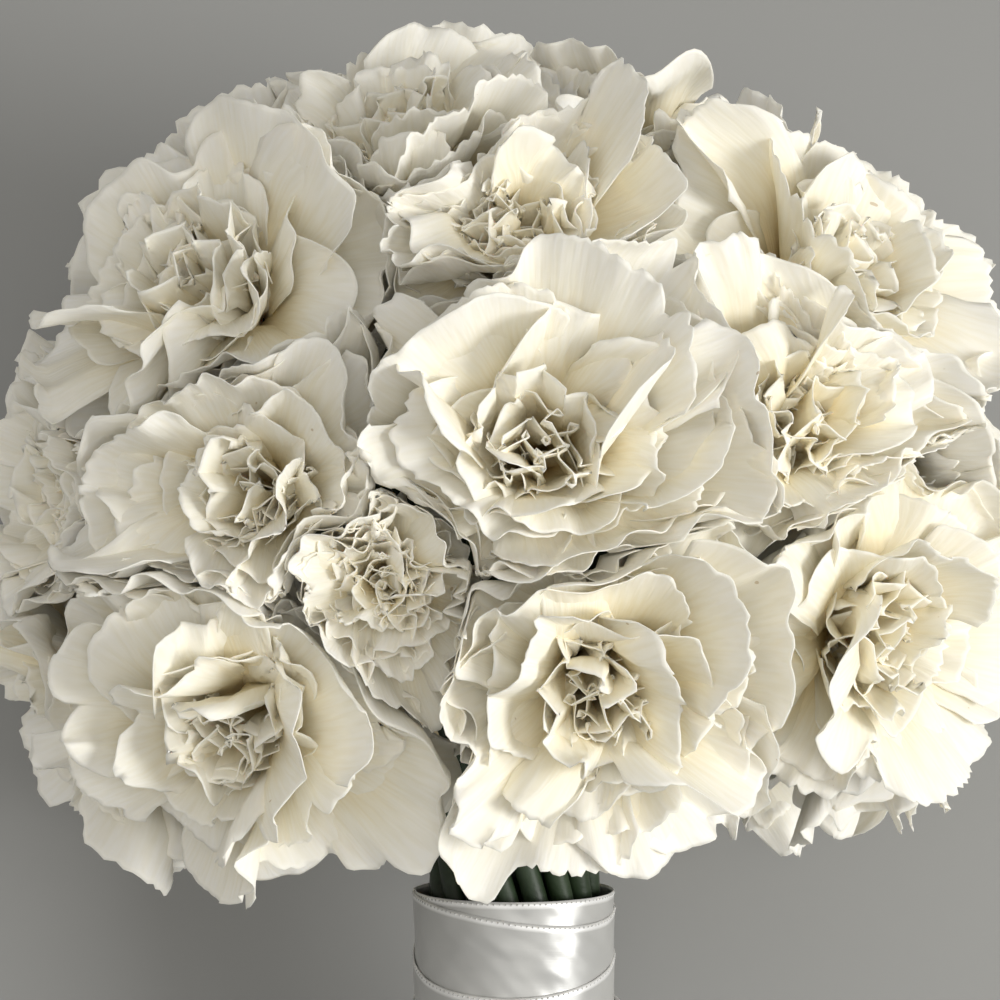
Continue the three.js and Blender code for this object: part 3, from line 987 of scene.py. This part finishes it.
@dataclass(frozen=True)
class SatinFinish:
    """Satin weave: fine cross ribs, a soft stretched highlight and a corded selvedge."""

    base: tuple[float, float, float] = (0.62, 0.615, 0.59)
    shade: tuple[float, float, float] = (0.53, 0.53, 0.515)
    selvedge: tuple[float, float, float] = (0.97, 0.965, 0.95)

    def build(self) -> bpy.types.Material:
        """Makes the material."""
        p = Paint("satin_weave")
        across, along = p.value("across"), p.value("along")
        coord = p.node("ShaderNodeTexCoord").outputs["Object"]
        clouds = p.noise(coord, 45.0, 3.0)
        colour = p.ramp(clouds, [(0.3, self.shade), (0.7, self.base)])
        edge = p.greys(across, (0.93, 0.0), (0.955, 1.0))
        p.link(p.mix(edge, colour, self.selvedge), p.shader.inputs["Base Color"])
        lean = p.math("ADD", p.math("MULTIPLY", along, 7.0), p.math("MULTIPLY", across, 1.1))
        creases = p.noise(p.point(lean, p.math("MULTIPLY", across, 1.6)), 1.0, 2.0)
        thread = p.point(p.math("MULTIPLY", along, 5.0), p.math("MULTIPLY", across, 160.0))
        ribs = p.noise(thread, 1.0, 2.0)
        normal = p.bump(creases, 0.0016)
        p.link(p.bump(ribs, 0.00001, normal), p.shader.inputs["Normal"])
        p.link(p.greys(clouds, (0.2, 0.32), (0.8, 0.42)), p.shader.inputs["Roughness"])
        p.shader.inputs["Metallic"].default_value = 0.3
        p.shader.inputs["Anisotropic"].default_value = 0.4
        p.shader.inputs["Sheen Weight"].default_value = 0.2
        p.shader.inputs["Specular IOR Level"].default_value = 0.8
        return p.material


@dataclass(frozen=True)
class TapeFinish:
    """Crinkled green florist's tape."""

    base: tuple[float, float, float] = (0.06, 0.11, 0.04)
    pale: tuple[float, float, float] = (0.12, 0.19, 0.08)

    def build(self) -> bpy.types.Material:
        """Makes the material."""
        p = Paint("binding_tape")
        coord = p.node("ShaderNodeTexCoord").outputs["Object"]
        crinkle = p.noise(coord, 700.0, 4.0)
        p.link(p.ramp(crinkle, [(0.35, self.base), (0.65, self.pale)]), p.shader.inputs["Base Color"])
        p.link(p.bump(crinkle, 0.0003), p.shader.inputs["Normal"])
        p.shader.inputs["Roughness"].default_value = 0.75
        return p.material


@dataclass
class Bundle:
    """The spiral of stems in the handle, and the lines that they follow to the blooms."""

    sites: list[Site]
    frame: BunchFrame
    neck_y: float = -82.0
    end_y: float = -224.0
    twist_at_neck: float = math.radians(1.05)
    twist_at_end: float = math.radians(0.25)
    fan_turn: float = math.radians(20)
    radius: float = 2.8
    radius_at_calyx: float = 2.3
    calyx_length: float = 25.0

    def lane(self, site: Site) -> tuple[float, float]:
        """The radius and azimuth of a stem's place at the neck."""
        ring = site.place.ring
        members = sorted(
            (s for s in self.sites if s.place.ring is ring), key=lambda s: s.place.lon % 360
        )
        step = 360 / len(members)
        lead = sum(s.place.lon % 360 - i * step for i, s in enumerate(members)) / len(members)
        return ring.value, math.radians(lead + members.index(site) * step) + self.fan_turn

    def in_bundle(self, lane: tuple[float, float], y: float) -> np.ndarray:
        """A point of a stem at a height in the handle."""
        fall = (y - self.neck_y) / (self.end_y - self.neck_y)
        eased = self.twist_at_neck + (self.twist_at_end - self.twist_at_neck) * 0.5 * max(0.0, fall)
        turn = lane[1] - min(0.0, y - self.neck_y) * eased
        return np.array([lane[0] * math.sin(turn), y, lane[0] * math.cos(turn)]) + HANDLE

    def line(self, site: Site) -> np.ndarray:
        """The points of a stem's axis, from its cut end to its calyx, in mm."""
        lane = self.lane(site)
        neck = self.in_bundle(lane, self.neck_y)
        lean = neck - self.in_bundle(lane, self.neck_y - 1)
        lean = lean / np.linalg.norm(lean)
        base = site.mouth - site.facing * self.calyx_length
        spread = float(np.linalg.norm(base - neck))
        p1 = neck + lean * spread * 0.42
        p2 = base - site.facing * spread * 0.24
        t = np.linspace(0, 1, 13)[:, None]
        curve = (
            neck * (1 - t) ** 3 + 3 * p1 * t * (1 - t) ** 2 + 3 * p2 * t**2 * (1 - t) + base * t**3
        )
        handle = [self.in_bundle(lane, y) for y in np.linspace(self.end_y, self.neck_y, 16)[:-1]]
        return np.vstack([handle, curve])

    def thickness(self, count: int, seed: int) -> np.ndarray:
        """Radius of a stem at each point of its line, swollen a little at its joints."""
        share = np.linspace(1, 0, count)
        plain = self.radius_at_calyx + (self.radius - self.radius_at_calyx) * smooth(share * 1.6)
        joint = (np.arange(count) * 0.37 + seed * 0.29) % 4
        return plain + 0.18 * np.exp(-(((joint - 2) / 0.35) ** 2))


class CurveGroup:
    """A node group that builds a mesh along a line, with named inputs."""

    name = ""
    inputs: tuple[tuple[str, str, float | None], ...] = ()

    def __init__(self, finish: bpy.types.Material) -> None:
        self.finish = finish
        self.group = bpy.data.node_groups.new(self.name, "GeometryNodeTree")
        face = self.group.interface
        face.new_socket("Geometry", in_out="INPUT", socket_type="NodeSocketGeometry")
        for label, kind, value in self.inputs:
            socket = face.new_socket(label, in_out="INPUT", socket_type=kind)
            if value is not None:
                socket.default_value = value
        face.new_socket("Geometry", in_out="OUTPUT", socket_type="NodeSocketGeometry")
        self.start = self.group.nodes.new("NodeGroupInput")
        self.lay_out()

    def lay_out(self) -> None:
        """Adds the group's nodes."""
        raise NotImplementedError

    def node(self, kind: str) -> bpy.types.Node:
        """A new node of the group."""
        return self.group.nodes.new(kind)

    def link(self, source: bpy.types.NodeSocket, target: bpy.types.NodeSocket) -> None:
        """Joins two sockets of the group."""
        self.group.links.new(source, target)

    def close(self, made: bpy.types.NodeSocket) -> None:
        """Makes what was laid out real, and gives it its material."""
        real = self.node("GeometryNodeRealizeInstances")
        dressed = self.node("GeometryNodeSetMaterial")
        self.link(made, real.inputs["Geometry"])
        self.link(real.outputs["Geometry"], dressed.inputs["Geometry"])
        self.link(self.start.outputs["Finish"], dressed.inputs["Material"])
        end = self.node("NodeGroupOutput")
        self.link(dressed.outputs["Geometry"], end.inputs["Geometry"])

    def run(self, name: str, points: np.ndarray, radii: np.ndarray | None = None) -> bpy.types.Mesh:
        """Carries the group along a line.

        Args:
            name: name of the mesh.
            points: the line, in metres in the row frame.
            radii: the radius at each point, in metres, where the group reads it.

        Returns:
            A plain mesh.
        """
        curve = bpy.data.curves.new(name, "CURVE")
        curve.dimensions = "3D"
        spline = curve.splines.new("POLY")
        spline.points.add(len(points) - 1)
        spline.points.foreach_set("co", np.c_[points, np.ones(len(points))].astype("f4").ravel())
        if radii is not None:
            spline.points.foreach_set("radius", radii.astype("f4"))
        holder = bpy.data.objects.new(name, curve)
        bpy.context.scene.collection.objects.link(holder)
        modifier = holder.modifiers.new(self.name, "NODES")
        modifier.node_group = self.group
        values = {label: value for label, _, value in self.inputs} | {"Finish": self.finish}
        for item in self.group.interface.items_tree:
            if item.in_out == "INPUT" and item.name in values:
                modifier[item.identifier] = values[item.name]
        graph = bpy.context.evaluated_depsgraph_get()
        mesh = bpy.data.meshes.new_from_object(holder.evaluated_get(graph), depsgraph=graph)
        bpy.data.objects.remove(holder)
        bpy.data.curves.remove(curve)
        return mesh


class StemTube(CurveGroup):
    """A ringed skin along a stem's line."""

    name = "stem_tube"
    inputs = (
        ("Sides", "NodeSocketInt", 12),
        ("Step", "NodeSocketFloat", 0.0065),
        ("Finish", "NodeSocketMaterial", None),
    )

    def lay_out(self) -> None:
        """Sweeps a ring along the line at even steps."""
        sampled = self.node("GeometryNodeResampleCurve")
        sampled.mode = "LENGTH"
        ring = self.node("GeometryNodeCurvePrimitiveCircle")
        ring.inputs["Radius"].default_value = 1.0
        swept = self.node("GeometryNodeCurveToMesh")
        swept.inputs["Fill Caps"].default_value = True
        self.link(self.start.outputs["Geometry"], sampled.inputs["Curve"])
        self.link(self.start.outputs["Step"], sampled.inputs["Length"])
        self.link(self.start.outputs["Sides"], ring.inputs["Resolution"])
        self.link(sampled.outputs["Curve"], swept.inputs["Curve"])
        self.link(ring.outputs["Curve"], swept.inputs["Profile Curve"])
        if "Scale" in swept.inputs:
            radius = self.node("GeometryNodeInputRadius")
            self.link(radius.outputs[0], swept.inputs["Scale"])
        self.close(swept.outputs["Mesh"])


@dataclass
class StemBuilder:
    """Builds a stem with its calyx: five teeth at the mouth and a cuff of bracts at the foot."""

    bundle: Bundle
    tube: StemTube
    finish: bpy.types.Material
    tooth: float = 4.5
    outline: tuple[tuple[float, float], ...] = (
        (2.2, -25.5), (3.4, -24.6), (5.4, -22.5), (6.5, -18), (7.1, -12), (7.7, -6),
        (8.2, -1), (8.7, 0.45), (9.2, 1.0), (8.9, 1.0), (7.2, -1), (6.7, -7), (6.5, -10.6),
    )

    def calyx(self, site: Site) -> tuple[np.ndarray, np.ndarray]:
        """The points and triangles of a calyx, open at its mouth, in mm."""
        sides = 40
        azimuth = np.linspace(0, 2 * math.pi, sides, endpoint=False)
        crest = np.abs(np.cos(2.5 * azimuth)) ** 1.4
        rings = []
        for k, (radius, height) in enumerate(self.outline):
            ridge = 0.16 * np.cos(10 * azimuth) * (2 <= k <= 6)
            high = np.full(sides, float(height))
            if height > 0:
                high = height * self.tooth * crest + 0.1 * (k == 8)
            rings.append(site.at(radius + ridge, azimuth, high))
        points = np.concatenate(rings)
        a = np.arange(sides)
        b = (a + 1) % sides
        faces = []
        for k in range(len(self.outline) - 1):
            lo, hi = k * sides, (k + 1) * sides
            faces.append(np.stack([lo + a, lo + b, hi + b], 1))
            faces.append(np.stack([lo + a, hi + b, hi + a], 1))
        last = (len(self.outline) - 1) * sides
        fan = np.arange(1, sides - 1)
        faces.append(np.stack([np.zeros_like(fan), fan + 1, fan], 1))
        faces.append(np.stack([np.full_like(fan, last), last + fan, last + fan + 1], 1))
        return points, np.concatenate(faces)

    def bract(self, site: Site, azimuth: float, length: float) -> tuple[np.ndarray, np.ndarray]:
        """A small pointed bract that hugs the foot of the calyx, in mm."""
        web = PetalWeb((0.0, 0.35, 0.7, 1.0), (5, 7, 5, 3))
        s, u = web.along, web.across
        width = 0.62 * np.sin(np.pi * np.clip(0.32 + 0.66 * s, 0, 1)) + 0.04
        height = -25.0 + length * s
        radius = 3.0 + 4.6 * smooth(s * 1.25) + 0.5 * s
        points = site.at(radius, azimuth + u * width, height)
        return web.thicken(points, np.full(len(s), 0.5)), web.solid

    def build(self, site: Site) -> bpy.types.Object:
        """Builds a stem.

        Args:
            site: the bloom that it carries.

        Returns:
            The stem.
        """
        line = self.bundle.line(site)
        radii = self.bundle.thickness(len(line), site.index)
        lie = self.bundle.frame
        tube = self.tube.run(f"tube_{site.tag}", lie.laid(line), radii * MM)
        mesh = Mesh()
        mesh.add(*self.calyx(site))
        for i in range(4):
            mesh.add(*self.bract(site, i * math.pi / 2 + 0.3, 10.5 - 2.2 * (i % 2)))
        made = mesh.build(f"stem_skin_{site.tag}", lie, self.finish)
        joined = bpy.data.objects.new("tube", tube)
        bpy.context.scene.collection.objects.link(joined)
        with bpy.context.temp_override(active_object=made, selected_editable_objects=[made, joined]):
            bpy.ops.object.join()
        made.data.shade_smooth()
        return made


@dataclass
class RibbonBuilder:
    """The satin ribbon, wound down the handle in lapped turns that dip on the side looked at."""

    frame: BunchFrame
    low: float = -205.0
    high: float = -89.0
    width: float = 25.0
    radius: float = 22.2
    lap: float = 0.75
    turns: float = 10.0
    pitch: float = 11.5
    dip: float = 7.5
    dip_turn: float = math.radians(22)
    flare_at: float = 3.47
    flare: float = 2.2
    thickness: float = 0.26

    @property
    def length(self) -> float:
        """The strip's length before it was wound, in mm."""
        return 2 * math.pi * (self.radius + self.lap / 2) * self.turns

    def surface(self, theta: np.ndarray, v: np.ndarray) -> np.ndarray:
        """Points of the ribbon's middle sheet.

        Args:
            theta: the turn along the ribbon, in radians, from the left of the handle's top.
            v: the place across it, 0 at the lower edge and 1 at the upper.

        Returns:
            The points, in mm.
        """
        turn = theta / (2 * math.pi)
        azimuth = theta - math.pi / 2
        fall = np.clip(self.pitch * (turn - 1), 0, self.high - self.low - self.width)
        swing = smooth((turn - 1) / 0.8) * smooth((self.turns - 0.9 - turn) / 0.9)
        top = self.high - fall - self.dip * swing * np.cos(azimuth + self.dip_turn)
        y = top - (1 - v) * self.width + 0.25 * np.sin(3 * theta + 4 * v) * swing
        radius = self.radius + self.lap * v - 0.35 * np.clip(1 - turn, 0, 1)
        radius = radius + 0.3 * smooth(turn - (self.turns - 1))
        radius = radius + 0.07 * np.sin(7 * theta + 9 * v) + 0.05 * np.sin(17 * theta - 14 * v)
        loose = np.exp(-(((turn - self.flare_at) / 0.05) ** 2)) * np.clip(v - 0.4, 0, 1) ** 2
        radius = radius + self.flare / 0.36 * loose
        return np.stack([radius * np.sin(azimuth), y, radius * np.cos(azimuth)], -1)

    def build(self, finish: bpy.types.Material) -> bpy.types.Object:
        """Builds the ribbon as a thin closed strip."""
        steps = int(self.turns * 88)
        rows = np.array([0, 0.15, 0.35, 0.52, 0.64, 0.74, 0.83, 0.91, 0.965, 1.0])
        theta = np.linspace(0, 2 * math.pi * self.turns, steps + 1)
        grid_t, grid_v = np.meshgrid(theta, rows, indexing="ij")
        middle = self.surface(grid_t, grid_v)
        n = len(rows)
        index = np.arange((steps + 1) * n).reshape(steps + 1, n)
        a, b = index[:-1, :-1].ravel(), index[1:, :-1].ravel()
        c, d = index[1:, 1:].ravel(), index[:-1, 1:].ravel()
        sheet = np.concatenate([np.stack([a, b, c], 1), np.stack([a, c, d], 1)])
        flat = middle.reshape(-1, 3)
        radial = flat * np.array([1, 0, 1])
        radial = radial / np.linalg.norm(radial, axis=1, keepdims=True)
        half = radial * self.thickness / 2
        points = np.concatenate([flat + half, flat - half]) + HANDLE
        total = len(flat)
        rim = np.concatenate(
            [index[:, 0], index[-1, 1:], index[:-1, -1][::-1], index[0, 1:-1][::-1]]
        )
        nxt = np.roll(rim, -1)
        edge = np.concatenate(
            [np.stack([nxt, rim, rim + total], 1), np.stack([nxt, rim + total, nxt + total], 1)]
        )
        faces = np.concatenate([sheet, sheet[:, ::-1] + total, edge])
        mesh = Mesh()
        mesh.add(
            points,
            faces,
            along=np.tile(grid_t.ravel() / (2 * math.pi), 2),
            across=np.tile(grid_v.ravel(), 2),
        )
        return mesh.build("ribbon_strip", self.frame, finish)

    def edge_line(self) -> np.ndarray:
        """The line of the upper edge, in metres in the row frame."""
        theta = np.linspace(0, 2 * math.pi * self.turns, int(self.turns * 60))
        points = self.surface(theta, np.zeros_like(theta) + 0.975)
        radial = points * np.array([1, 0, 1])
        radial = radial / np.linalg.norm(radial, axis=1, keepdims=True)
        return self.frame.laid(points + radial * 0.16 + HANDLE)


class PicotEdge(CurveGroup):
    """A row of small picots along a ribbon's edge."""

    name = "picot_edge"
    inputs = (
        ("Pitch", "NodeSocketFloat", 0.0013),
        ("Size", "NodeSocketFloat", 0.00024),
        ("Seed", "NodeSocketInt", 7),
        ("Finish", "NodeSocketMaterial", None),
    )

    def lay_out(self) -> None:
        """Sets a small knot at every step of the line, each of its own size."""
        spaced = self.node("GeometryNodeCurveToPoints")
        spaced.mode = "LENGTH"
        knot = self.node("GeometryNodeMeshIcoSphere")
        knot.inputs["Subdivisions"].default_value = 1
        placed = self.node("GeometryNodeInstanceOnPoints")
        vary = self.node("FunctionNodeRandomValue")
        vary.inputs[2].default_value = 0.75
        vary.inputs[3].default_value = 1.2
        self.link(self.start.outputs["Geometry"], spaced.inputs["Curve"])
        self.link(self.start.outputs["Pitch"], spaced.inputs["Length"])
        self.link(self.start.outputs["Size"], knot.inputs["Radius"])
        self.link(self.start.outputs["Seed"], vary.inputs["Seed"])
        self.link(spaced.outputs["Points"], placed.inputs["Points"])
        self.link(knot.outputs["Mesh"], placed.inputs["Instance"])
        self.link(vary.outputs[1], placed.inputs["Scale"])
        self.close(placed.outputs["Instances"])

    def build(self, line: np.ndarray, name: str = "ribbon_picots") -> bpy.types.Object:
        """Sets the picots along a line.

        Args:
            line: points of the edge, in metres in the row frame.
            name: name of the piece.

        Returns:
            The picots, as one plain mesh.
        """
        made = bpy.data.objects.new(name, self.run(name, line))
        bpy.context.scene.collection.objects.link(made)
        return made


@dataclass
class Studio:
    """The floor, the soft lights and the camera."""

    frame: BunchFrame
    distance: float = 700.0
    focal: float = 3062.0
    floor_colour: tuple[float, float, float] = (0.375, 0.375, 0.365)

    def floor(self) -> None:
        """A plain pale floor."""
        data = bpy.data.meshes.new("floor")
        r = 4.0
        data.from_pydata([(-r, -r, 0), (r, -r, 0), (r, r, 0), (-r, r, 0)], [], [(0, 1, 2, 3)])
        made = bpy.data.objects.new("floor", data)
        bpy.context.scene.collection.objects.link(made)
        p = Paint("floor")
        mottle = p.noise(None, 6.0, 4.0)
        low = tuple(c * 0.97 for c in self.floor_colour)
        p.link(p.ramp(mottle, [(0.3, low), (0.7, self.floor_colour)]), p.shader.inputs["Base Color"])
        p.shader.inputs["Roughness"].default_value = 0.9
        data.materials.append(p.material)
        made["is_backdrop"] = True

    def light(
        self, name: str, at: tuple[float, float, float], size: float, power: float, colour: tuple
    ) -> None:
        """A large soft light aimed at the head.

        Args:
            name: its name.
            at: where it is, in metres on the bunch's axes.
            size: its side, in metres.
            power: its power, in watts.
            colour: its colour.
        """
        data = bpy.data.lights.new(name, "AREA")
        data.shape = "DISK"
        data.size = size
        data.energy = power
        data.color = colour
        made = bpy.data.objects.new(name, data)
        where = Vector(self.frame.laid(np.array(at) / MM))
        aim = Vector(self.frame.laid(np.zeros(3)))
        made.location = where
        made.rotation_euler = (aim - where).to_track_quat("-Z", "Y").to_euler()
        bpy.context.scene.collection.objects.link(made)

    def camera(self) -> None:
        """The camera, square to the side of the bunch that is looked at."""
        data = bpy.data.cameras.new("camera")
        data.sensor_width = 36.0
        data.lens = self.focal * 36.0 / 1000.0
        data.clip_start = 0.01
        data.clip_end = 50.0
        made = bpy.data.objects.new("camera", data)
        made.location = Vector(self.frame.laid(np.array([0, 0, self.distance])))
        made.rotation_euler = (self.frame.tilt, 0, 0)
        bpy.context.scene.collection.objects.link(made)
        bpy.context.scene.camera = made

    def build(self) -> None:
        """Sets up the whole studio."""
        self.floor()
        self.camera()
        self.light("key", (1.6, -0.15, 1.15), 0.9, 25.5, (1.0, 0.995, 0.975))
        self.light("fill", (-1.2, 0.6, 1.5), 1.8, 2.0, (1.0, 0.985, 0.95))
        self.light("front", (0.15, -0.1, 1.9), 1.2, 4.4, (1.0, 0.985, 0.955))
        world = bpy.data.worlds.new("world")
        world.use_nodes = True
        back = world.node_tree.nodes["Background"]
        back.inputs["Color"].default_value = (1.0, 0.985, 0.95, 1.0)
        back.inputs["Strength"].default_value = 0.4
        bpy.context.scene.world = world
        bpy.context.scene.view_settings.view_transform = "Standard"


def triangles(piece: bpy.types.Object) -> int:
    """The number of triangles that a piece comes to."""
    return len(piece.data.loops) - 2 * len(piece.data.polygons)


def place(piece: bpy.types.Object, slot: str, *nodes: str) -> None:
    """Puts a finished piece on the frame and logs its size."""
    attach(piece, ROOT)
    if nodes:
        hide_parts(*nodes)
    LOG.info("%s: %d triangles", piece.name, triangles(piece))


def main() -> None:
    """Builds the bunch, the studio and the size note."""
    logging.basicConfig(level=logging.INFO, format="%(message)s")
    lie = BunchFrame.from_cad()
    Studio(lie).build()
    sites = [Site(i, p) for i, p in enumerate(PLACES)]
    petals = PetalFinish().build()
    blooms = BloomBuilder(Crowd(sites, lie))
    for site in sites:
        place(blooms.build(site, petals), "petals", f"bloom_{site.tag}")
    green = StemFinish().build()
    stems = StemBuilder(Bundle(sites, lie), StemTube(green), green)
    for site in sites:
        stem = stems.build(site)
        place(stem, "stems", f"stem_{site.tag}")
    satin = SatinFinish().build()
    ribbon = RibbonBuilder(lie)
    strip = ribbon.build(satin)
    place(strip, "ribbon", "satin_ribbon")
    picots = PicotEdge(satin).build(ribbon.edge_line())
    place(picots, "ribbon")
    tape = TapeFinish().build()
    frame["nodes"]["binding_tape"].data.materials.clear()
    frame["nodes"]["binding_tape"].data.materials.append(tape)
    total = sum(triangles(piece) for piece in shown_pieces())
    LOG.info("%d triangles in all", total)


if __name__ == "__main__":
    main()
